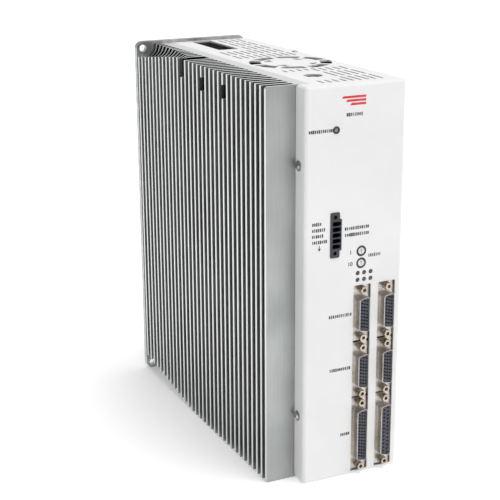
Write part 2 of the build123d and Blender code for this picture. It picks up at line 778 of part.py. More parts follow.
def supply_light():
    """Domed lamp of the logic supply, held at the edge of the power board."""
    x, z, r = SUPPLY_LIGHT
    dome = rod((x, -0.4, z), r, 6, "+Y")
    dome = fillet(dome.edges().group_by(Axis.Y)[0], 1.2)
    return dome + block(POWER_X + BOARD + GAP, x + 2.6, 4.6, 9, z - 2.6, z + 2.0)


def supply_light_collar():
    """Dark collar that holds the lamp in the panel."""
    x, z, r = SUPPLY_LIGHT
    collar = rod((x, -0.4, z), LAMP_COLLAR_R, 3.4, "+Y")
    collar = chamfer(collar.edges().group_by(Axis.Y)[0], 0.15)
    return collar - rod((x, -1, z), r + GAP, 6, "+Y")


# ---- D-shaped ports ----


def d_outline(length, width, corner):
    """D outline on the front plane, its long side to the right."""
    slant = width * tan(radians(10))
    half, side = length / 2, width / 2
    corners = [(side, -half), (side, half), (-side, half - slant), (-side, slant - half)]
    face = make_face(Polyline(*corners, close=True))
    return fillet(face.vertices(), corner)


def d_body(length, width, corner, y_back, y_front):
    """Solid with the D outline between two depths."""
    return Pos(0, y_back, 0) * extrude(Plane.XZ * d_outline(length, width, corner), amount=y_back - y_front)


def port_shell(port):
    """Drawn steel shell: a flat flange with two screw holes and the D-shaped collar."""
    _, (x, _), z, (spacing, length, flange), _ = port
    shell = block(-FLANGE_W / 2, FLANGE_W / 2, FLANGE_FRONT, FLANGE_FRONT + 1.0, -flange / 2, flange / 2)
    shell = fillet(shell.edges().filter_by(Axis.Y), 1.2)
    lip, wall = 2 * D_LIP, 2 * D_WALL
    shell += d_body(length + lip, D_WIDTH + lip, D_CORNER + D_LIP, FLANGE_FRONT + 0.5, FLANGE_FRONT - D_LIP)
    shell += d_body(length, D_WIDTH, D_CORNER, FLANGE_FRONT + 0.5, -PORT_REACH)
    hollow = d_body(length - wall, D_WIDTH - wall, D_CORNER - D_WALL, FLANGE_FRONT + 2, -PORT_REACH - 1)
    shell -= hollow
    for side in (-1, 1):
        shell -= rod((0, FLANGE_FRONT - 1, side * spacing / 2), 1.55, 3, "+Y")
    return Pos(x, 0, z) * shell


def contact_places(port):
    """Contact positions in a port, relative to its centre; rows are set half a pitch apart."""
    rows = port[4]
    pitch, step = (2.29, 1.98) if len(rows) == 3 else (2.77, 2.84)
    places = []
    for index, count in enumerate(rows):
        x = ((len(rows) - 1) / 2 - index) * step
        shift = pitch / 2 if index == 1 and len(rows) == 3 else 0
        for pin in range(count):
            places.append((x, (pin - (count - 1) / 2) * pitch + shift / 2))
    return places


CONTACT_R = 0.72
CONTACT_DEPTH = 1.6
INSERT_FRONT = 0.5 - PORT_REACH


def port_insulator(port):
    """Moulded insert with a hole for each contact, and the block behind the flange."""
    _, (x, board_face), z, (_, length, _), _ = port
    gap = 2 * (D_WALL + GAP)
    insert = d_body(length - gap, D_WIDTH - gap, D_CORNER - D_WALL - GAP, 3.5, INSERT_FRONT)
    back = FLANGE_FRONT + 1.05
    insert += block(board_face + GAP - x, 5.4, back, 13, -length / 2 - 0.5, length / 2 + 0.5)
    holes = [rod((dx, INSERT_FRONT - 1, dz), CONTACT_R, 10, "+Y") for dx, dz in contact_places(port)]
    return Pos(x, 0, z) * insert.cut(*holes)


def port_contacts():
    """Contact sleeves of all the ports."""
    pieces = []
    for port in PORTS:
        _, (x, _), z, _, _ = port
        for dx, dz in contact_places(port):
            sleeve = rod((x + dx, INSERT_FRONT + CONTACT_DEPTH, z + dz), CONTACT_R - 0.04, 7, "+Y")
            pieces.append(sleeve - rod((x + dx, INSERT_FRONT, z + dz), 0.45, 6, "+Y"))
    return group(pieces)


def port_jackscrews():
    """Six-sided jackscrews with a threaded bore for the plug's screw."""
    pieces = []
    for _, (x, _), z, (spacing, _, _), _ in PORTS:
        for side in (-1, 1):
            at = z + side * spacing / 2
            piece = hexagon((x, FLANGE_FRONT - GAP, at), JACK_R, PORT_REACH + 0.9, "-Y")
            piece += rod((x, FLANGE_FRONT - 0.2, at), 1.4, 8, "+Y")
            pieces.append(piece - rod((x, -PORT_REACH - 1, at), JACK_THREAD, 5.6, "+Y"))
    return group(pieces)


# ---- write every part ----


os.makedirs("parts", exist_ok=True)

SINGLE = (
    heat_sink,
    rear_plate,
    rear_plate_screws,
    front_cover,
    side_cover,
    side_cover_screws,
    cover_screws,
    front_bracket,
    tie_screws,
    fan_frame,
    fan_rotor,
    fan_shaft,
    fan_bearings,
    fan_stator,
    fan_studs,
    fan_nuts,
    power_board,
    control_board,
    io_board,
    board_posts,
    board_screws,
    board_link,
    thermal_pads,
    power_modules,
    bus_capacitors,
    choke_core,
    choke_winding,
    transformer_core,
    transformer_winding,
    supply_relay,
    current_sensors,
    earth_terminal,
    header_body,
    header_pins,
    header_nuts,
    selector_bodies,
    light_pipes,
    status_lamps,
    supply_light,
    supply_light_collar,
    port_contacts,
    port_jackscrews,
)
for make in SINGLE:
    save(make.__name__, make())
for decade, height in SELECTOR_Z.items():
    save(f"selector_rotor_{decade}", selector_rotor(height))
for place, at_top in (("power", True), ("motor", False)):
    save(f"{place}_terminal_block", terminal_block(at_top))
    save(f"{place}_terminal_clamps", terminal_clamps(at_top))
for port in PORTS:
    save(f"port_shell_{port[0]}", port_shell(port))
    save(f"port_insulator_{port[0]}", port_insulator(port))
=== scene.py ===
import json
import math

import bmesh
import bpy
from mathutils import Matrix, Vector


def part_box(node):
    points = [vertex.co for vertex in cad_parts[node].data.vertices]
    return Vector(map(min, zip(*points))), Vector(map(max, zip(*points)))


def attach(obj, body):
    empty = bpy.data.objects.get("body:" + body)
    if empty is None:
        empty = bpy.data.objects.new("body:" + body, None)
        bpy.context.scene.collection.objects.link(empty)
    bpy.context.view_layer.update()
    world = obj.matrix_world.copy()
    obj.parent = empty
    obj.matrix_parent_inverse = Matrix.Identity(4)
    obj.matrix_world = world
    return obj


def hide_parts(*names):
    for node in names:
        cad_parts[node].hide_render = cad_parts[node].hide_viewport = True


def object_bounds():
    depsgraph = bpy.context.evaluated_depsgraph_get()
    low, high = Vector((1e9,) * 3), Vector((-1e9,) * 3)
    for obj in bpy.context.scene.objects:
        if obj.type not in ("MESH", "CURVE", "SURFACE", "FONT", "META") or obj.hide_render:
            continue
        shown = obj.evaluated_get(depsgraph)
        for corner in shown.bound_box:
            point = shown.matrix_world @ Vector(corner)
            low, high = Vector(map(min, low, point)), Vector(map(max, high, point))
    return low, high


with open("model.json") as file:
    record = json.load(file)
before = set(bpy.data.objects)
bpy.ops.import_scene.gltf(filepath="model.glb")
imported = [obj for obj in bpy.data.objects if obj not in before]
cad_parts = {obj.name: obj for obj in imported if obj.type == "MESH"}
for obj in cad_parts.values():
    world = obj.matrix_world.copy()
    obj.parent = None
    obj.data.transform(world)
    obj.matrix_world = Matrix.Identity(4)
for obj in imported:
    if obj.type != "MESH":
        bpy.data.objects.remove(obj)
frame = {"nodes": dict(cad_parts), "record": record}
cad_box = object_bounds()
MM = 0.001
SAME_POINT = 1e-6
FLAT = math.radians(0.6)
FLOOR_Z = cad_box[0][2] - 0.2 * MM


# ---- places, read from the frame ----


def corner(node, high=False):
    """Lowest or highest corner of a node's box."""
    return Vector(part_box(node)[1 if high else 0])


def middle(node):
    """Centre of a node's box."""
    return (corner(node) + corner(node, True)) / 2


COVER_LOW = corner("front_cover")
SINK_LOW = corner("heat_sink")
SINK_HIGH = corner("heat_sink", True)
SINK_BASE = 9
PORT_NAMES = [node[len("port_shell_") :] for node in frame["nodes"] if node.startswith("port_shell_")]


def on_panel(x, z, proud=0.0):
    """Point of the front panel, in millimetres from its lower left corner and in front of it."""
    return Vector((COVER_LOW.x + x * MM, COVER_LOW.y - proud * MM, COVER_LOW.z + z * MM))


def islands(node):
    """Lowest and highest corners of each separate solid in a node."""
    work = bmesh.new()
    work.from_mesh(frame["nodes"][node].data)
    bmesh.ops.remove_doubles(work, verts=work.verts, dist=SAME_POINT)
    waiting, found = set(work.verts), []
    while waiting:
        edge, members = [waiting.pop()], []
        while edge:
            vert = edge.pop()
            members.append(vert.co.copy())
            for near in (link.other_vert(vert) for link in vert.link_edges):
                if near in waiting:
                    waiting.remove(near)
                    edge.append(near)
        low = Vector(min(co[axis] for co in members) for axis in range(3))
        high = Vector(max(co[axis] for co in members) for axis in range(3))
        found.append((low, high))
    work.free()
    return sorted(found, key=lambda pair: tuple(round(v, 5) for v in pair[0]))


# ---- camera ----

CAMERA_AT = Vector((-0.37890, -0.78994, 0.39321))
CAMERA_AIM = Vector((0.40745, 0.866624, -0.288007))
CAMERA_ROLL = math.radians(-0.37)
CAMERA_LENS = 88.95
CAMERA_SENSOR = 36
CAMERA_REACH = 60

camera_data = bpy.data.cameras.new("camera")
camera_data.lens = CAMERA_LENS
camera_data.sensor_width = CAMERA_SENSOR
camera_data.clip_end = CAMERA_REACH
camera = bpy.data.objects.new("camera", camera_data)
turn = CAMERA_AIM.to_track_quat("-Z", "Y").to_matrix().to_4x4()
camera.matrix_world = Matrix.Translation(CAMERA_AT) @ turn @ Matrix.Rotation(CAMERA_ROLL, 4, "Z")
bpy.context.scene.collection.objects.link(camera)
bpy.context.scene.camera = camera


# ---- materials, each named for what the real one is ----


def colour(code):
    """Linear colour with alpha from an sRGB hex value."""
    values = [int(code[i : i + 2], 16) / 255 for i in (1, 3, 5)]
    linear = [v / 12.92 if v <= 0.04045 else ((v + 0.055) / 1.055) ** 2.4 for v in values]
    return (*linear, 1.0)


def cells(size_mm):
    """Scale of a pattern on Object coordinates whose cells are so many millimetres wide."""
    return 1 / (size_mm * MM)


def add(tree, kind, settings=None, inputs=None):
    """Adds one node, with its settings, and its inputs as constants or as sockets to link."""
    made = tree.nodes.new(kind)
    for name, value in (settings or {}).items():
        setattr(made, name, value)
    for name, value in (inputs or {}).items():
        socket = made.inputs[name]
        if isinstance(value, bpy.types.NodeSocket):
            tree.links.new(value, socket)
        else:
            socket.default_value = value
    return made


RGBA = {"data_type": "RGBA"}
MIX_A, MIX_B, MIXED = 6, 7, 2


def blank(name):
    """New material, its empty tree, and the Object coordinates that its patterns read."""
    made = bpy.data.materials.new(name)
    made.use_nodes = True
    tree = made.node_tree
    tree.nodes.clear()
    return made, tree, add(tree, "ShaderNodeTexCoord").outputs["Object"]


def powder_coat():
    """Polyester powder coat on sheet steel: a soft even white with a satin orange peel, 0.8 mm wide."""
    made, tree, place = blank("white_powder_coat")
    cloud = {"Vector": place, "Scale": cells(45), "Detail": 3.0}
    cloud = add(tree, "ShaderNodeTexNoise", {}, cloud).outputs["Fac"]
    peel = {"Vector": place, "Scale": cells(0.8), "Detail": 2.0}
    peel = add(tree, "ShaderNodeTexNoise", {}, peel).outputs["Fac"]
    shade = add(tree, "ShaderNodeMapRange", {}, {"Value": cloud, "From Min": 0.3, "From Max": 0.7})
    tone = {"Factor": shade.outputs["Result"], MIX_A: colour("#E9E9E9"), MIX_B: colour("#EFEFEF")}
    gloss = {"Value": peel, "From Min": 0.3, "From Max": 0.7, "To Min": 0.42, "To Max": 0.56}
    relief = {"Height": peel, "Distance": 0.012 * MM, "Strength": 0.5}
    shader = {
        "Base Color": add(tree, "ShaderNodeMix", RGBA, tone).outputs[MIXED],
        "Roughness": add(tree, "ShaderNodeMapRange", {}, gloss).outputs["Result"],
        "Normal": add(tree, "ShaderNodeBump", {}, relief).outputs["Normal"],
        "IOR": 1.5,
    }
    shader = add(tree, "ShaderNodeBsdfPrincipled", {}, shader)
    add(tree, "ShaderNodeOutputMaterial", {}, {"Surface": shader.outputs["BSDF"]})
    return made


def extruded_aluminium():
    """Mill-finish aluminium extrusion. Die lines 0.6 mm apart run along the fins, drawn coarser than
    they are so that they show, and saw marks 0.8 mm apart cross the cut ends. The left-facing fin tips
    carry a painted highlight, and the upward cut ends are lighter partly for their sawn finish and
    partly as painted light from above. The fin flanks between tip and base are darkened near black:
    painted shade between the fins."""
    made, tree, place = blank("extruded_aluminium")
    along = {"Vector": place, "Scale": (1.0, 1.0, 0.012)}
    along = add(tree, "ShaderNodeMapping", {}, along).outputs["Vector"]
    across = {"Vector": place, "Scale": (0.06, 1.0, 1.0)}
    across = add(tree, "ShaderNodeMapping", {}, across).outputs["Vector"]
    die = {"Vector": along, "Scale": cells(0.6), "Detail": 4.0, "Roughness": 0.6}
    saw = {"Vector": across, "Scale": cells(0.8), "Detail": 3.0, "Roughness": 0.6}
    die = add(tree, "ShaderNodeTexNoise", {}, die).outputs["Fac"]
    saw = add(tree, "ShaderNodeTexNoise", {}, saw).outputs["Fac"]
    cloud = {"Vector": place, "Scale": cells(60), "Detail": 3.0}
    cloud = add(tree, "ShaderNodeTexNoise", {}, cloud).outputs["Fac"]
    facing = add(tree, "ShaderNodeNewGeometry").outputs["Normal"]
    facing = add(tree, "ShaderNodeSeparateXYZ", {}, {"Vector": facing})
    size_of = {"operation": "ABSOLUTE"}
    up = add(tree, "ShaderNodeMath", size_of, {0: facing.outputs["Z"]}).outputs[0]
    along_y = add(tree, "ShaderNodeMath", size_of, {0: facing.outputs["Y"]}).outputs[0]
    cut = {"Value": up, "From Min": 0.85, "From Max": 0.95}
    cut = add(tree, "ShaderNodeMapRange", {}, cut).outputs["Result"]
    marks = {"Factor": cut, "A": die, "B": saw}
    marks = add(tree, "ShaderNodeMix", {"data_type": "FLOAT"}, marks).outputs["Result"]
    sum_up = {0: marks, 1: 0.6, 2: cloud}
    uneven = add(tree, "ShaderNodeMath", {"operation": "MULTIPLY_ADD"}, sum_up).outputs[0]
    uneven = add(tree, "ShaderNodeMapRange", {}, {"Value": uneven, "From Min": 0.6, "From Max": 1.0})
    tone = {"Factor": uneven.outputs["Result"], MIX_A: colour("#A3A6A4"), MIX_B: colour("#C0C3C2")}
    tone = add(tree, "ShaderNodeMix", RGBA, tone).outputs[MIXED]
    # Painted highlight: faces pointing left, the fin tips, are lightened for the light falling on them;
    # faces pointing up, the sawn ends, are lightened partly for their real sawn finish and partly as
    # painted light from above.
    painted_tip_highlight = {"Value": facing.outputs["X"], "From Min": -0.8, "From Max": -0.95}
    painted_tip_highlight = add(tree, "ShaderNodeMapRange", {}, painted_tip_highlight).outputs["Result"]
    bright = add(tree, "ShaderNodeMath", {"operation": "MAXIMUM"}, {0: painted_tip_highlight, 1: cut}).outputs[0]
    tone = {"Factor": bright, MIX_A: tone, MIX_B: colour("#E6E8E7")}
    tone = add(tree, "ShaderNodeMix", RGBA, tone).outputs[MIXED]
    at = add(tree, "ShaderNodeSeparateXYZ", {}, {"Vector": place})
    tip, foot, front = SINK_LOW.x, SINK_HIGH.x - SINK_BASE * MM, SINK_LOW.y + 1.2 * MM
    # Painted shade: fin flanks facing along Y, deeper than the tips, short of the base and behind the
    # front plate, are darkened to near black for the shade between the fins.
    shade_limits = (
        (along_y, 0.5, 0.8),
        (at.outputs["X"], tip + 0.4 * MM, tip + 5 * MM),
        (at.outputs["X"], foot + 0.1 * MM, foot - 0.1 * MM),
        (at.outputs["Y"], front, front + 0.3 * MM),
    )
    painted_fin_shade = 1.0
    for value, start, end in shade_limits:
        part = {"Value": value, "From Min": start, "From Max": end}
        part = add(tree, "ShaderNodeMapRange", {}, part).outputs["Result"]
        painted_fin_shade = add(tree, "ShaderNodeMath", {"operation": "MULTIPLY"}, {0: part, 1: painted_fin_shade}).outputs[0]
    tone = {"Factor": painted_fin_shade, MIX_A: tone, MIX_B: colour("#1F2322")}
    tone = add(tree, "ShaderNodeMix", RGBA, tone).outputs[MIXED]
    gloss = {"Value": marks, "From Min": 0.3, "From Max": 0.7, "To Min": 0.38, "To Max": 0.54}
    relief = {"Height": marks, "Distance": 0.03 * MM, "Strength": 0.35}
    shader = {
        "Base Color": tone,
        "Metallic": 1.0,
        "Roughness": add(tree, "ShaderNodeMapRange", {}, gloss).outputs["Result"],
        "Normal": add(tree, "ShaderNodeBump", {}, relief).outputs["Normal"],
    }
    shader = add(tree, "ShaderNodeBsdfPrincipled", {}, shader)
    add(tree, "ShaderNodeOutputMaterial", {}, {"Surface": shader.outputs["BSDF"]})
    return made


def metal(name, dark, light, glossy, dull, blotch_mm, stretch=(1.0, 1.0, 1.0), coat=0.0):
    """Bare, plated or enamelled metal: a soft shine, broken by blotches or grain of the given width."""
    made, tree, place = blank(name)
    grain = add(tree, "ShaderNodeMapping", {}, {"Vector": place, "Scale": stretch}).outputs["Vector"]
    blotch = {"Vector": grain, "Scale": cells(blotch_mm), "Detail": 4.0, "Roughness": 0.6}
    blotch = add(tree, "ShaderNodeTexNoise", {}, blotch).outputs["Fac"]
    patch = {"Vector": place, "Scale": cells(9 * blotch_mm), "Detail": 2.0}
    patch = add(tree, "ShaderNodeTexNoise", {}, patch).outputs["Fac"]
    both = {0: blotch, 1: 0.8, 2: patch}
    both = add(tree, "ShaderNodeMath", {"operation": "MULTIPLY_ADD"}, both).outputs[0]
    shade = add(tree, "ShaderNodeMapRange", {}, {"Value": both, "From Min": 0.65, "From Max": 1.15})
    tone = {"Factor": shade.outputs["Result"], MIX_A: colour(dark), MIX_B: colour(light)}
    gloss = {"Value": blotch, "From Min": 0.3, "From Max": 0.7, "To Min": glossy, "To Max": dull}
    relief = {"Height": blotch, "Distance": 0.02 * MM, "Strength": 0.35}
    shader = {
        "Base Color": add(tree, "ShaderNodeMix", RGBA, tone).outputs[MIXED],
        "Metallic": 1.0,
        "Roughness": add(tree, "ShaderNodeMapRange", {}, gloss).outputs["Result"],
        "Normal": add(tree, "ShaderNodeBump", {}, relief).outputs["Normal"],
        "Coat Weight": coat,
    }
    shader = add(tree, "ShaderNodeBsdfPrincipled", {}, shader)
    add(tree, "ShaderNodeOutputMaterial", {}, {"Surface": shader.outputs["BSDF"]})
    return made


def moulded(name, dark, light, rough, grain_mm=0.3, ior=1.53, coat=0.0):
    """Moulded plastic, rubber or resin: a fine spark-eroded grain and slight shades, 7 mm wide."""
    made, tree, place = blank(name)
    cloud = {"Vector": place, "Scale": cells(7), "Detail": 3.0}
    cloud = add(tree, "ShaderNodeTexNoise", {}, cloud).outputs["Fac"]
    grain = {"Vector": place, "Scale": cells(grain_mm), "Detail": 2.0}
    grain = add(tree, "ShaderNodeTexNoise", {}, grain).outputs["Fac"]
    shade = add(tree, "ShaderNodeMapRange", {}, {"Value": cloud, "From Min": 0.3, "From Max": 0.7})
    tone = {"Factor": shade.outputs["Result"], MIX_A: colour(dark), MIX_B: colour(light)}
    gloss = {"Value": grain, "From Min": 0.3, "From Max": 0.7}
    gloss |= {"To Min": rough - 0.07, "To Max": rough + 0.07}
    relief = {"Height": grain, "Distance": 0.04 * grain_mm * MM, "Strength": 0.5}
    shader = {
        "Base Color": add(tree, "ShaderNodeMix", RGBA, tone).outputs[MIXED],
        "Roughness": add(tree, "ShaderNodeMapRange", {}, gloss).outputs["Result"],
        "Normal": add(tree, "ShaderNodeBump", {}, relief).outputs["Normal"],
        "IOR": ior,
        "Coat Weight": coat,
        "Coat Roughness": 0.08,
    }
    shader = add(tree, "ShaderNodeBsdfPrincipled", {}, shader)
    add(tree, "ShaderNodeOutputMaterial", {}, {"Surface": shader.outputs["BSDF"]})
    return made


def circuit_board():
    """Green solder mask over copper: lighter raised tracks 1.6 mm apart on a darker ground."""
    made, tree, place = blank("green_solder_mask")
    tracks = {
        "Vector": place,
        "Scale": 1.0,
        "Brick Width": 7 * MM,
        "Row Height": 1.6 * MM,
        "Mortar Size": 0.35 * MM,
        "Color1": colour("#14522F"),
        "Color2": colour("#1B653D"),
        "Mortar": colour("#0E3F25"),
    }
    tracks = add(tree, "ShaderNodeTexBrick", {"offset": 0.37}, tracks)
    weave = {"Vector": place, "Scale": cells(0.9), "Detail": 2.0}
    weave = add(tree, "ShaderNodeTexNoise", {}, weave).outputs["Fac"]
    gloss = {"Value": weave, "From Min": 0.3, "From Max": 0.7, "To Min": 0.25, "To Max": 0.4}
    relief = {"Height": tracks.outputs["Fac"], "Distance": 0.03 * MM, "Strength": 0.5}
    shader = {
        "Base Color": tracks.outputs["Color"],
        "Roughness": add(tree, "ShaderNodeMapRange", {}, gloss).outputs["Result"],
        "Normal": add(tree, "ShaderNodeBump", {}, relief).outputs["Normal"],
    }
    shader = add(tree, "ShaderNodeBsdfPrincipled", {}, shader)
    add(tree, "ShaderNodeOutputMaterial", {}, {"Surface": shader.outputs["BSDF"]})
    return made


def studio_paper():
    """Matt white paper, lit through from below so that it stays white; fibres 1.1 mm long."""
    made, tree, place = blank("white_paper")
    fibre = {"Vector": place, "Scale": cells(1.1), "Detail": 2.0}
    fibre = add(tree, "ShaderNodeTexNoise", {}, fibre).outputs["Fac"]
    tone = {"Factor": fibre, MIX_A: colour("#F8F8F8"), MIX_B: colour("#FCFCFC")}
    shader = {
        "Base Color": add(tree, "ShaderNodeMix", RGBA, tone).outputs[MIXED],
        "Roughness": 0.9,
        "Specular IOR Level": 0.1,
        "Emission Color": colour("#FFFFFF"),
        "Emission Strength": PAPER_GLOW,
    }
    shader = add(tree, "ShaderNodeBsdfPrincipled", {}, shader)
    add(tree, "ShaderNodeOutputMaterial", {}, {"Surface": shader.outputs["BSDF"]})
    return made


PAPER_GLOW = 0.25
ROLLED = (1.0, 1.0, 0.03)
WHITE = powder_coat()
SINK = extruded_aluminium()
PLATE = metal("rolled_aluminium_plate", "#A9ACAE", "#CED0D2", 0.36, 0.48, 0.7, ROLLED)
ZINC = metal("zinc_plated_steel", "#A6A8AA", "#D6D8DA", 0.22, 0.36, 1.5)
GALVANISED = metal("galvanised_sheet", "#7F8486", "#A7ABAD", 0.35, 0.55, 4.0)
NICKEL = metal("nickel_plated_drawn_steel", "#B0AAA4", "#D9D3CD", 0.26, 0.42, 2.6)
JACK = metal("nickel_plated_turned_steel", "#A89C8F", "#D2C7BA", 0.2, 0.32, 1.2)
GROUND = metal("ground_bearing_steel", "#A0A2A4", "#C4C6C8", 0.12, 0.22, 1.0)
LAMINATION = metal("laminated_core_steel", "#3C3E42", "#5A5C60", 0.4, 0.55, 0.5, (0.03, 0.03, 1.0))
BRASS = metal("turned_brass", "#8C7B45", "#BDA866", 0.22, 0.38, 1.5)
GOLD = metal("gold_flashed_contact", "#9A7A3A", "#D8B873", 0.2, 0.32, 0.8)
COPPER = metal("enamelled_copper_wire", "#8A4A22", "#B8693A", 0.25, 0.4, 1.0, coat=0.5)
BOARD = circuit_board()
BLACK_NYLON = moulded("black_glass_filled_nylon", "#0D0D0F", "#17181A", 0.5)
EPOXY = moulded("black_moulded_epoxy", "#101112", "#1B1C1E", 0.6)
FERRITE = moulded("sintered_ferrite", "#141415", "#232325", 0.7, 0.4)
SILICONE = moulded("grey_silicone_pad", "#7E858C", "#8F969D", 0.8, 0.5, 1.41)
SLEEVE = moulded("shrink_sleeve_blue_black", "#121722", "#1C2433", 0.28, 1.2, 1.54)
TAPE = moulded("yellow_polyester_tape", "#B8952F", "#D2AE42", 0.3, 1.0, 1.6)
HEADER = moulded("slate_grey_polyamide", "#262831", "#383B45", 0.42)
INSERT = moulded("blue_black_polyester_insert", "#34363F", "#454853", 0.36)
SELECTOR_RING = moulded("dark_selector_collar", "#2F3032", "#47484B", 0.35)
SELECTOR_ROTOR = moulded("white_selector_rotor", "#E4E4E2", "#F0F0EE", 0.4)
SMOKE = moulded("smoky_clear_light_guide", "#262828", "#484A49", 0.14, 6.0, 1.49, 0.6)
LAMP = moulded("pale_green_lamp_resin", "#66706A", "#A0ABA0", 0.2, 6.0, 1.49, 0.6)
INK = moulded("grey_panel_ink", "#2C2D31", "#505155", 0.55, 0.5, 1.48)
ACCENT_INK = moulded("red_panel_ink", "#D4202F", "#E04450", 0.55, 0.5, 1.48)
PAPER = studio_paper()


# ---- pieces made from CAD nodes, with their edges broken ----


def keep_only(piece, made):
    """Gives a piece one material."""
    piece.data.materials.clear()
    piece.data.materials.append(made)


def paint(made, *nodes):
    """Puts a material in every slot of CAD nodes."""
    for node in nodes:
        data = frame["nodes"][node].data
        if not data.materials:
            data.materials.append(made)
        for index in range(len(data.materials)):
            data.materials[index] = made


def body_of(node):
    """Name of the body that a node belongs to."""
    for name, members in frame["record"]["behaviour"]["bodies"].items():
        if node in members:
            return name
    return "root"


def stands_for(piece, node):
    """Makes a piece ride and show in place of a CAD node."""
    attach(piece, body_of(node))
    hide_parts(node)


def new_piece(name, data):
    """Object at the origin with the given mesh."""
    piece = bpy.data.objects.new(name, data)
    bpy.context.scene.collection.objects.link(piece)
    return piece


def clean_copy(node, name):
    """Copy of a node's mesh with its flat faces joined. A port shell's thin rims stay in triangles,
    because a ring-shaped face folds over its opening when its edges are rounded."""
    data = frame["nodes"][node].data.copy()
    data.name = name
    work = bmesh.new()
    work.from_mesh(data)
    bmesh.ops.remove_doubles(work, verts=work.verts, dist=SAME_POINT)
    if "port_shell" not in node:
        bmesh.ops.dissolve_limit(work, angle_limit=FLAT, verts=work.verts, edges=work.edges)
    work.to_mesh(data)
    work.free()
    return new_piece(name, data)


def bake_modifiers(piece):
    """Replaces a piece's mesh by its evaluated mesh and removes its modifiers."""
    depsgraph = bpy.context.evaluated_depsgraph_get()
    result = bpy.data.meshes.new_from_object(piece.evaluated_get(depsgraph))
    piece.modifiers.clear()
    piece.data = result


def break_edges(piece, width_mm, segments=2, angle=35):
    """Adds modifiers that round every sharp edge, as a deburred or moulded edge is."""
    bevel = piece.modifiers.new("edges", "BEVEL")
    bevel.width = width_mm * MM
    bevel.segments = segments
    bevel.limit_method = "ANGLE"
    bevel.angle_limit = math.radians(angle)
    bevel.use_clamp_overlap = True
    bevel.harden_normals = True
    piece.modifiers.new("normals", "WEIGHTED_NORMAL").keep_sharp = True


def broken_edges(node, made, width_mm):
    """Stands for a node: the same shape with every sharp edge rounded."""
    piece = clean_copy(node, f"{node}_finished")
    keep_only(piece, made)
    for face in piece.data.polygons:
        face.use_smooth = True
    break_edges(piece, width_mm)
    bake_modifiers(piece)
    stands_for(piece, node)


ROUNDED = [
    ("heat_sink", SINK, 0.35),
    ("rear_plate", PLATE, 0.5),
    ("front_cover", WHITE, 0.25),
    ("side_cover", WHITE, 0.25),
    ("header_body", HEADER, 0.15),
    ("selector_bodies", SELECTOR_RING, 0.12),
    ("selector_rotor_units", SELECTOR_ROTOR, 0.1),
    ("selector_rotor_tens", SELECTOR_ROTOR, 0.1),
    ("supply_light_collar", SELECTOR_RING, 0.1),
    ("fan_frame", BLACK_NYLON, 0.3),
    ("fan_rotor", BLACK_NYLON, 0.2),
    ("power_terminal_block", BLACK_NYLON, 0.25),
    ("motor_terminal_block", BLACK_NYLON, 0.25),
    ("earth_terminal", BRASS, 0.25),
    ("power_modules", EPOXY, 0.2),
]
ROUNDED += [(f"port_shell_{name}", NICKEL, 0.22) for name in PORT_NAMES]
for node, made, width in ROUNDED:
    broken_edges(node, made, width)

paint(ZINC, "rear_plate_screws", "side_cover_screws", "fan_studs", "fan_nuts")
paint(ZINC, "power_terminal_clamps", "motor_terminal_clamps")
paint(GALVANISED, "front_bracket")
paint(GROUND, "fan_shaft", "fan_bearings")
paint(LAMINATION, "fan_stator")
paint(BOARD, "power_board", "control_board", "io_board")
paint(BRASS, "board_posts", "header_nuts")
paint(HEADER, "board_link")
paint(SILICONE, "thermal_pads")
paint(SLEEVE, "bus_capacitors")
paint(FERRITE, "choke_core", "transformer_core")
paint(COPPER, "choke_winding")
paint(TAPE, "transformer_winding")
paint(EPOXY, "supply_relay", "current_sensors")
paint(GOLD, "header_pins")
paint(INSERT, *(f"port_insulator_{name}" for name in PORT_NAMES))
paint(SMOKE, "light_pipes")
paint(LAMP, "status_lamps", "supply_light")


# ---- repeated hardware and panel print, set out by Geometry Nodes ----

FLOAT, VECTOR = "NodeSocketFloat", "NodeSocketVector"
INT, FINISH = "NodeSocketInt", "NodeSocketMaterial"
CUT, TIMES = {"operation": "DIFFERENCE"}, {"operation": "MULTIPLY"}


def empty_tree(name, sizes):
    """New Geometry Nodes tree with named inputs, and its input node."""
    tree = bpy.data.node_groups.new(name, "GeometryNodeTree")
    tree.interface.new_socket("Geometry", in_out="INPUT", socket_type="NodeSocketGeometry")
    for label, kind in sizes.items():
        tree.interface.new_socket(label, in_out="INPUT", socket_type=kind)
    tree.interface.new_socket("Geometry", in_out="OUTPUT", socket_type="NodeSocketGeometry")
    return tree, add(tree, "NodeGroupInput")


def end_tree(tree, start, shape):
    """Sets a shape out on the points, along Facing, as real faces with the Finish."""
    way = {"Vector": start.outputs["Facing"]}
    way = add(tree, "FunctionNodeAlignRotationToVector", {"axis": "Z"}, way).outputs["Rotation"]
    copies = {"Points": start.outputs["Geometry"], "Instance": shape, "Rotation": way}
    copies = add(tree, "GeometryNodeInstanceOnPoints", {}, copies).outputs["Instances"]
    real = add(tree, "GeometryNodeRealizeInstances", {}, {"Geometry": copies}).outputs["Geometry"]
    done = {"Geometry": real, "Material": start.outputs["Finish"]}
    done = add(tree, "GeometryNodeSetMaterial", {}, done).outputs["Geometry"]
    add(tree, "NodeGroupOutput", {}, {"Geometry": done})


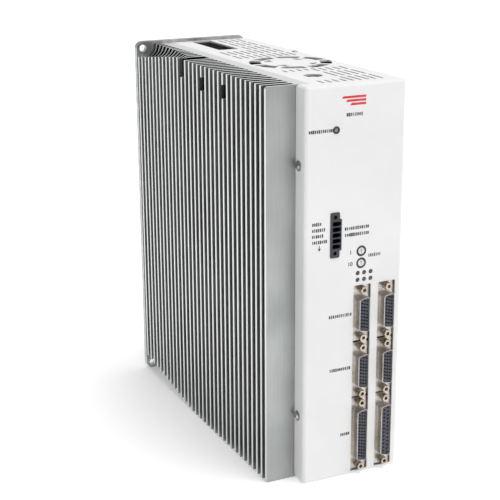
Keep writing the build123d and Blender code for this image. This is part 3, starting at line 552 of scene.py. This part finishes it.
def sleeve_tree():
    """Round sleeve or ring: a short tube with its mouth at the point and its body behind it."""
    sizes = {"Radius": FLOAT, "Bore": FLOAT, "Length": FLOAT, "Facing": VECTOR, "Finish": FINISH}
    tree, start = empty_tree("round_sleeve", sizes)
    size = start.outputs
    outer = {"Vertices": 14, "Radius": size["Radius"], "Depth": size["Length"]}
    inner = {"Vertices": 14, "Radius": size["Bore"], "Depth": size["Length"]}
    outer = add(tree, "GeometryNodeMeshCylinder", {}, outer).outputs["Mesh"]
    inner = add(tree, "GeometryNodeMeshCylinder", {}, inner).outputs["Mesh"]
    longer = {"Geometry": inner, "Scale": (1.0, 1.0, 1.2)}
    longer = add(tree, "GeometryNodeTransform", {}, longer).outputs["Geometry"]
    tube = add(tree, "GeometryNodeMeshBoolean", CUT, {"Mesh 1": outer, "Mesh 2": longer})
    half = add(tree, "ShaderNodeMath", TIMES, {0: size["Length"], 1: -0.5}).outputs[0]
    back = add(tree, "ShaderNodeCombineXYZ", {}, {"Z": half}).outputs["Vector"]
    placed = {"Geometry": tube.outputs["Mesh"], "Translation": back}
    end_tree(tree, start, add(tree, "GeometryNodeTransform", {}, placed).outputs["Geometry"])
    return tree


def jackscrew_tree():
    """Six-sided jackscrew with a bore for the plug's screw."""
    sizes = {"Corner Radius": FLOAT, "Bore": FLOAT, "Length": FLOAT, "Facing": VECTOR, "Finish": FINISH}
    tree, start = empty_tree("six_sided_jackscrew", sizes)
    size = start.outputs
    bar = {"Vertices": 6, "Radius": size["Corner Radius"], "Depth": size["Length"]}
    bar = add(tree, "GeometryNodeMeshCylinder", {}, bar).outputs["Mesh"]
    half = add(tree, "ShaderNodeMath", TIMES, {0: size["Length"], 1: -0.5}).outputs[0]
    down = add(tree, "ShaderNodeCombineXYZ", {}, {"Z": half}).outputs["Vector"]
    bore = {"Vertices": 16, "Radius": size["Bore"], "Depth": size["Length"]}
    bore = add(tree, "GeometryNodeMeshCylinder", {}, bore).outputs["Mesh"]
    up = {"Geometry": bore, "Translation": (0.0, 0.0, 1.0 * MM)}
    bore = add(tree, "GeometryNodeTransform", {}, up).outputs["Geometry"]
    drilled = {"Mesh 1": bar, "Mesh 2": bore}
    drilled = add(tree, "GeometryNodeMeshBoolean", CUT, drilled).outputs["Mesh"]
    placed = add(tree, "GeometryNodeTransform", {}, {"Geometry": drilled, "Translation": down})
    end_tree(tree, start, placed.outputs["Geometry"])
    return tree


def pan_head_tree():
    """Pan-head screw with a cross recess: its seat at the point, its head in front of it."""
    sizes = {
        "Head Radius": FLOAT,
        "Head Height": FLOAT,
        "Shank Radius": FLOAT,
        "Shank Length": FLOAT,
        "Facing": VECTOR,
        "Finish": FINISH,
    }
    tree, start = empty_tree("pan_head_screw", sizes)
    size = start.outputs
    radius, height = size["Head Radius"], size["Head Height"]
    rim = add(tree, "GeometryNodeMeshCylinder", {}, {"Vertices": 32, "Radius": radius, "Depth": height})
    half = add(tree, "ShaderNodeMath", TIMES, {0: height, 1: 0.5}).outputs[0]
    lift = add(tree, "ShaderNodeCombineXYZ", {}, {"Z": half}).outputs["Vector"]
    rim = add(tree, "GeometryNodeTransform", {}, {"Geometry": rim.outputs["Mesh"], "Translation": lift})
    round_r = add(tree, "ShaderNodeMath", TIMES, {0: radius, 1: 1.45}).outputs[0]
    sink = add(tree, "ShaderNodeMath", {"operation": "SUBTRACT"}, {0: height, 1: round_r}).outputs[0]
    sink = add(tree, "ShaderNodeCombineXYZ", {}, {"Z": sink}).outputs["Vector"]
    dome = add(tree, "GeometryNodeMeshUVSphere", {}, {"Segments": 32, "Rings": 24, "Radius": round_r})
    dome = {"Geometry": dome.outputs["Mesh"], "Translation": sink}
    dome = add(tree, "GeometryNodeTransform", {}, dome).outputs["Geometry"]
    rim = {"Mesh 2": rim.outputs["Geometry"]}
    head = add(tree, "GeometryNodeMeshBoolean", {"operation": "INTERSECT"}, rim)
    tree.links.new(dome, head.inputs["Mesh 2"])
    arm = add(tree, "ShaderNodeMath", TIMES, {0: radius, 1: 1.05}).outputs[0]
    thick = add(tree, "ShaderNodeMath", TIMES, {0: radius, 1: 0.24}).outputs[0]
    top = add(tree, "ShaderNodeCombineXYZ", {}, {"Z": height}).outputs["Vector"]
    cut_out = head.outputs["Mesh"]
    for x, y in ((arm, thick), (thick, arm)):
        bar = add(tree, "ShaderNodeCombineXYZ", {}, {"X": x, "Y": y, "Z": height}).outputs["Vector"]
        bar = add(tree, "GeometryNodeMeshCube", {}, {"Size": bar}).outputs["Mesh"]
        bar = {"Geometry": bar, "Translation": top}
        bar = add(tree, "GeometryNodeTransform", {}, bar).outputs["Geometry"]
        cut_out = {"Mesh 1": cut_out, "Mesh 2": bar}
        cut_out = add(tree, "GeometryNodeMeshBoolean", CUT, cut_out).outputs["Mesh"]
    shank = {"Vertices": 20, "Radius": size["Shank Radius"], "Depth": size["Shank Length"]}
    shank = add(tree, "GeometryNodeMeshCylinder", {}, shank).outputs["Mesh"]
    down = add(tree, "ShaderNodeMath", TIMES, {0: size["Shank Length"], 1: -0.5}).outputs[0]
    down = add(tree, "ShaderNodeCombineXYZ", {}, {"Z": down}).outputs["Vector"]
    shank = {"Geometry": shank, "Translation": down}
    shank = add(tree, "GeometryNodeTransform", {}, shank).outputs["Geometry"]
    whole = add(tree, "GeometryNodeJoinGeometry", {}, {"Geometry": cut_out})
    tree.links.new(shank, whole.inputs["Geometry"])
    end_tree(tree, start, whole.outputs["Geometry"])
    return tree


def print_tree():
    """Row of small printed strokes that keeps the place of a line of print without any letters."""
    sizes = {"Count": INT, "Pitch": FLOAT, "Height": FLOAT, "Film": FLOAT, "Seed": INT}
    sizes |= {"Facing": VECTOR, "Finish": FINISH}
    tree, start = empty_tree("printed_strokes", sizes)
    size = start.outputs
    step = add(tree, "ShaderNodeCombineXYZ", {}, {"X": size["Pitch"]}).outputs["Vector"]
    line = {"Count": size["Count"], "Offset": step}
    line = add(tree, "GeometryNodeMeshLine", {}, line).outputs["Mesh"]
    block = {"X": size["Pitch"], "Y": size["Film"], "Z": size["Height"]}
    block = add(tree, "ShaderNodeCombineXYZ", {}, block).outputs["Vector"]
    block = add(tree, "GeometryNodeMeshCube", {}, {"Size": block}).outputs["Mesh"]
    vary = {"Min": (0.42, 1.0, 0.75), "Max": (0.92, 1.0, 1.0), "Seed": size["Seed"]}
    vary = add(tree, "FunctionNodeRandomValue", {"data_type": "FLOAT_VECTOR"}, vary).outputs["Value"]
    strokes = {"Points": line, "Instance": block, "Scale": vary}
    strokes = add(tree, "GeometryNodeInstanceOnPoints", {}, strokes).outputs["Instances"]
    end_tree(tree, start, strokes)
    return tree


def set_out(name, tree, points, finish, sizes, facing=(0, 0, 1), edge_mm=0.0):
    """Runs a tree on a set of points and keeps the result as a plain mesh; sizes are in millimetres."""
    data = bpy.data.meshes.new(name)
    data.from_pydata([tuple(point) for point in points], [], [])
    piece = new_piece(name, data)
    modifier = piece.modifiers.new("set_out", "NODES")
    modifier.node_group = tree
    values = {label: size * MM if isinstance(size, float) else size for label, size in sizes.items()}
    values |= {"Facing": facing, "Finish": finish}
    for socket in tree.interface.items_tree:
        if socket.in_out == "INPUT" and socket.name in values:
            modifier[socket.identifier] = values[socket.name]
    if edge_mm:
        break_edges(piece, edge_mm)
    bake_modifiers(piece)
    return piece


def merged(name, parts):
    """One piece from several, with their materials side by side."""
    work, data = bmesh.new(), bpy.data.meshes.new(name)
    for part in parts:
        first, before = len(data.materials), len(work.faces)
        work.from_mesh(part.data)
        for made in part.data.materials:
            data.materials.append(made)
        work.faces.ensure_lookup_table()
        for face in work.faces[before:]:
            face.material_index += first
        bpy.data.objects.remove(part)
    work.to_mesh(data)
    work.free()
    return new_piece(name, data)


TO_FRONT, TO_LEFT, TO_RIGHT = (0.0, -1.0, 0.0), (-1.0, 0.0, 0.0), (1.0, 0.0, 0.0)
SLEEVES, JACKSCREWS = sleeve_tree(), jackscrew_tree()
PAN_HEADS, STROKES = pan_head_tree(), print_tree()

# Contact rows of each port: pins in each row, pitch along the row and step between rows
ROWS = {name: (9, 9, 8) for name in PORT_NAMES}
ROWS |= {"left_bottom": (15, 15, 14), "right_bottom": (13, 12)}
JACK_SPACING = {name: 33.32 for name in PORT_NAMES}
JACK_SPACING |= {"left_bottom": 47.04, "right_bottom": 47.04}
THREE_ROWS, TWO_ROWS = (2.29, 1.98), (2.77, 2.84)
CONTACT_DEPTH = 1.6


def contact_points():
    """Mouth of each contact, behind the face of its port's insert."""
    points = []
    for name in PORT_NAMES:
        centre = middle(f"port_shell_{name}")
        face = corner(f"port_insulator_{name}").y + CONTACT_DEPTH * MM
        rows = ROWS[name]
        pitch, step = THREE_ROWS if len(rows) == 3 else TWO_ROWS
        for index, count in enumerate(rows):
            x = ((len(rows) - 1) / 2 - index) * step
            shift = pitch / 4 if index == 1 and len(rows) == 3 else 0
            for pin in range(count):
                z = (pin - (count - 1) / 2) * pitch + shift
                points.append((centre.x + x * MM, face, centre.z + z * MM))
    return points


sleeve_size = {"Radius": 0.68, "Bore": 0.45, "Length": 5.0}
sleeves = set_out("contact_sleeves", SLEEVES, contact_points(), GOLD, sleeve_size, TO_FRONT)
stands_for(sleeves, "port_contacts")

jack_points, jack_end = [], corner("port_jackscrews").y
for name in PORT_NAMES:
    centre = middle(f"port_shell_{name}")
    for side in (-0.5, 0.5):
        jack_points.append((centre.x, jack_end, centre.z + side * JACK_SPACING[name] * MM))
jack_size = {"Corner Radius": 2.74, "Bore": 1.2, "Length": 4.85}
jackscrews = set_out("jackscrews", JACKSCREWS, jack_points, JACK, jack_size, TO_FRONT, 0.18)
stands_for(jackscrews, "port_jackscrews")

# Screws between the fins and on the front bracket, placed by the height of their heads
TIE_HEAD, BRACKET_HEAD, POST_HEAD, WASHER = 2.2, 1.6, 1.6, 0.45
ties, brackets = [], []
for low, high in islands("tie_screws"):
    centre = (low + high) / 2
    if high.x - low.x > high.y - low.y:
        ties.append((low.x + TIE_HEAD * MM, centre.y, centre.z))
    else:
        brackets.append((centre.x, low.y + BRACKET_HEAD * MM, centre.z))
tie_size = {"Head Radius": 3.2, "Head Height": TIE_HEAD}
tie_size |= {"Shank Radius": 1.6, "Shank Length": 10.6}
bracket_size = {"Head Radius": 2.6, "Head Height": BRACKET_HEAD}
bracket_size |= {"Shank Radius": 1.45, "Shank Length": 7.9}
ties = set_out("ties", PAN_HEADS, ties, ZINC, tie_size, TO_LEFT, 0.12)
brackets = set_out("brackets", PAN_HEADS, brackets, ZINC, bracket_size, TO_FRONT, 0.12)
stands_for(merged("tie_and_bracket_screws", [ties, brackets]), "tie_screws")

posts = []
for low, high in islands("board_screws"):
    posts.append((high.x - POST_HEAD * MM, (low.y + high.y) / 2, (low.z + high.z) / 2))
post_size = {"Head Radius": 2.4, "Head Height": POST_HEAD}
post_size |= {"Shank Radius": 1.25, "Shank Length": 6.0}
stands_for(set_out("pan_screws", PAN_HEADS, posts, ZINC, post_size, TO_RIGHT, 0.12), "board_screws")

# Cover screws, each on a washer of darker galvanised steel; the washer's dark ring round the head is
# partly painted shade of the screw's recess
seats = []
for low, high in islands("cover_screws"):
    seats.append(Vector((COVER_LOW.x, (low.y + high.y) / 2, (low.z + high.z) / 2)))
washer_size = {"Radius": 3.5, "Bore": 1.5, "Length": WASHER}
cover_size = {"Head Radius": 2.6, "Head Height": 1.45, "Shank Radius": 1.45, "Shank Length": 8.4}
raised = [seat + Vector(TO_LEFT) * WASHER * MM for seat in seats]
shade_ring_washers = set_out("shade_ring_washers", SLEEVES, raised, GALVANISED, washer_size, TO_LEFT, 0.1)
heads = set_out("heads", PAN_HEADS, raised, ZINC, cover_size, TO_LEFT, 0.15)
stands_for(merged("cover_screws_with_washers", [shade_ring_washers, heads]), "cover_screws")

# Thickness of the ink and the gap under it, in millimetres
FILM, CLEAR = 0.03, 0.002
# Rows of print: left end and middle height on the panel, number of strokes, pitch, height
PRINT_ROWS = (
    (2.0, 241.5, 13, 1.4, 2.4),
    (29.0, 250.6, 8, 1.5, 2.4),
    (5.0, 181.5, 5, 1.4, 2.4),
    (5.0, 177.5, 7, 1.4, 2.4),
    (5.0, 173.5, 6, 1.4, 2.4),
    (5.0, 169.5, 8, 1.4, 2.4),
    (29.0, 176.0, 13, 1.4, 2.4),
    (29.0, 171.7, 13, 1.4, 2.4),
    (46.8, 156.0, 7, 1.4, 2.4),
    (18.0, 117.0, 12, 1.45, 2.5),
    (19.0, 79.0, 11, 1.45, 2.5),
    (28.0, 31.0, 5, 1.45, 2.5),
)


def flat_mark(name, outline, finish):
    """Thin closed film of ink on the panel with a straight-sided outline, in millimetres."""
    work, data = bmesh.new(), bpy.data.meshes.new(name)
    back = [work.verts.new(on_panel(x, z, CLEAR)) for x, z in outline]
    front = [work.verts.new(on_panel(x, z, FILM)) for x, z in outline]
    work.faces.new(front)
    work.faces.new(reversed(back))
    for index in range(len(outline)):
        after = (index + 1) % len(outline)
        work.faces.new((back[index], back[after], front[after], front[index]))
    bmesh.ops.recalc_face_normals(work, faces=work.faces)
    work.to_mesh(data)
    work.free()
    data.materials.append(finish)
    return new_piece(name, data)


def numeral(figures, x, z, height):
    """Printed number beside a selector, its left end and middle height on the panel."""
    text = bpy.data.curves.new("numeral", "FONT")
    text.body = figures
    text.size = height * 1.35 * MM
    text.extrude = FILM / 2 * MM
    text.offset = 0.1 * MM
    text.align_y = "CENTER"
    piece = new_piece("numeral", text)
    depsgraph = bpy.context.evaluated_depsgraph_get()
    data = bpy.data.meshes.new_from_object(piece.evaluated_get(depsgraph))
    bpy.data.objects.remove(piece)
    place = Matrix.Translation(on_panel(x, z, FILM / 2 + CLEAR))
    data.transform(place @ Matrix.Rotation(math.pi / 2, 4, "X"))
    data.materials.clear()
    data.materials.append(INK)
    return new_piece("numeral", data)


prints = []
for seed, (x, z, count, pitch, height) in enumerate(PRINT_ROWS):
    row_size = {"Count": count, "Pitch": pitch, "Height": height, "Film": FILM, "Seed": seed}
    start = on_panel(x + pitch / 2, z, FILM / 2 + CLEAR)
    prints.append(set_out("row", STROKES, [start], INK, row_size))
prints.append(numeral("1", 32.8, 159.5, 2.8))
prints.append(numeral("10", 31.6, 151.5, 2.8))
prints.append(flat_mark("stem", ((10.2, 167.2), (10.8, 167.2), (10.8, 165.0), (10.2, 165.0)), INK))
prints.append(flat_mark("point", ((9.4, 165.2), (11.6, 165.2), (10.5, 163.2)), INK))
panel_print = merged("panel_print", prints)
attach(panel_print, "root")

# Plain red mark: three bars that get shorter downwards
BAR_HEIGHT, BAR_SLANT = 1.5, 1
ACCENT_BARS = ((25.5, 43.0, 261.0), (28.5, 43.0, 258.7), (31.5, 43.0, 256.4))
bars = []
for left, right, z in ACCENT_BARS:
    top = z + BAR_HEIGHT
    outline = ((left, z), (right, z), (right, top), (left + BAR_SLANT, top))
    bars.append(flat_mark("bar", outline, ACCENT_INK))
accent = merged("panel_accent", bars)
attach(accent, "root")


# ---- floor and light ----


def floor():
    """Large flat floor under the part."""
    side = 12.0
    data = bpy.data.meshes.new("floor")
    corners = [(-side, -side, 0), (side, -side, 0), (side, side, 0), (-side, side, 0)]
    data.from_pydata(corners, [], [(0, 1, 2, 3)])
    data.transform(Matrix.Translation((0, 0, FLOOR_Z)))
    data.materials.append(PAPER)
    new_piece("floor", data)


SKY_DIM, SKY_BRIGHT = 0.05, 0.85
SKY_BRIGHTEST = (0.7, 0.45, 0.55)


def area_light(name, at, aim, size, power):
    """Soft rectangular light."""
    data = bpy.data.lights.new(name, "AREA")
    data.shape = "RECTANGLE"
    data.size, data.size_y = size
    data.energy = power
    made = bpy.data.objects.new(name, data)
    direction = Vector(aim) - Vector(at)
    made.matrix_world = Matrix.Translation(at) @ direction.to_track_quat("-Z", "Y").to_matrix().to_4x4()
    bpy.context.scene.collection.objects.link(made)


def sun(name, direction, strength, spread):
    """Soft sun: a wide far light that falls evenly on the floor."""
    data = bpy.data.lights.new(name, "SUN")
    data.energy = strength
    data.angle = math.radians(spread)
    made = bpy.data.objects.new(name, data)
    made.matrix_world = Vector(direction).to_track_quat("-Z", "Y").to_matrix().to_4x4()
    bpy.context.scene.collection.objects.link(made)


def studio_sky(dim, bright):
    """White room that is brightest behind the part, up and to the right."""
    world = bpy.data.worlds.new("studio")
    world.use_nodes = True
    tree = world.node_tree
    tree.nodes.clear()
    towards = add(tree, "ShaderNodeTexCoord").outputs["Generated"]
    towards = {0: towards, 1: SKY_BRIGHTEST}
    towards = add(tree, "ShaderNodeVectorMath", {"operation": "DOT_PRODUCT"}, towards).outputs["Value"]
    level = {"Value": towards, "From Min": -0.9, "From Max": 0.9, "To Min": dim, "To Max": bright}
    level = add(tree, "ShaderNodeMapRange", {}, level).outputs["Result"]
    sky = add(tree, "ShaderNodeBackground", {}, {"Color": colour("#FFFFFF"), "Strength": level})
    add(tree, "ShaderNodeOutputWorld", {}, {"Surface": sky.outputs["Background"]})
    bpy.context.scene.world = world
    bpy.context.scene.view_settings.view_transform = "Standard"


SUN_WAY, SUN_STRENGTH, SUN_SPREAD = (-0.15, 0.28, -0.95), 1.6, 40
RIM_AT, RIM_AIM, RIM_SIZE, RIM_POWER = (-1.0, -0.9, 0.5), (0, 0, 0.13), (0.5, 1.2), 0.8

floor()
studio_sky(SKY_DIM, SKY_BRIGHT)
sun("key", SUN_WAY, SUN_STRENGTH, SUN_SPREAD)
area_light("rim", RIM_AT, RIM_AIM, RIM_SIZE, RIM_POWER)
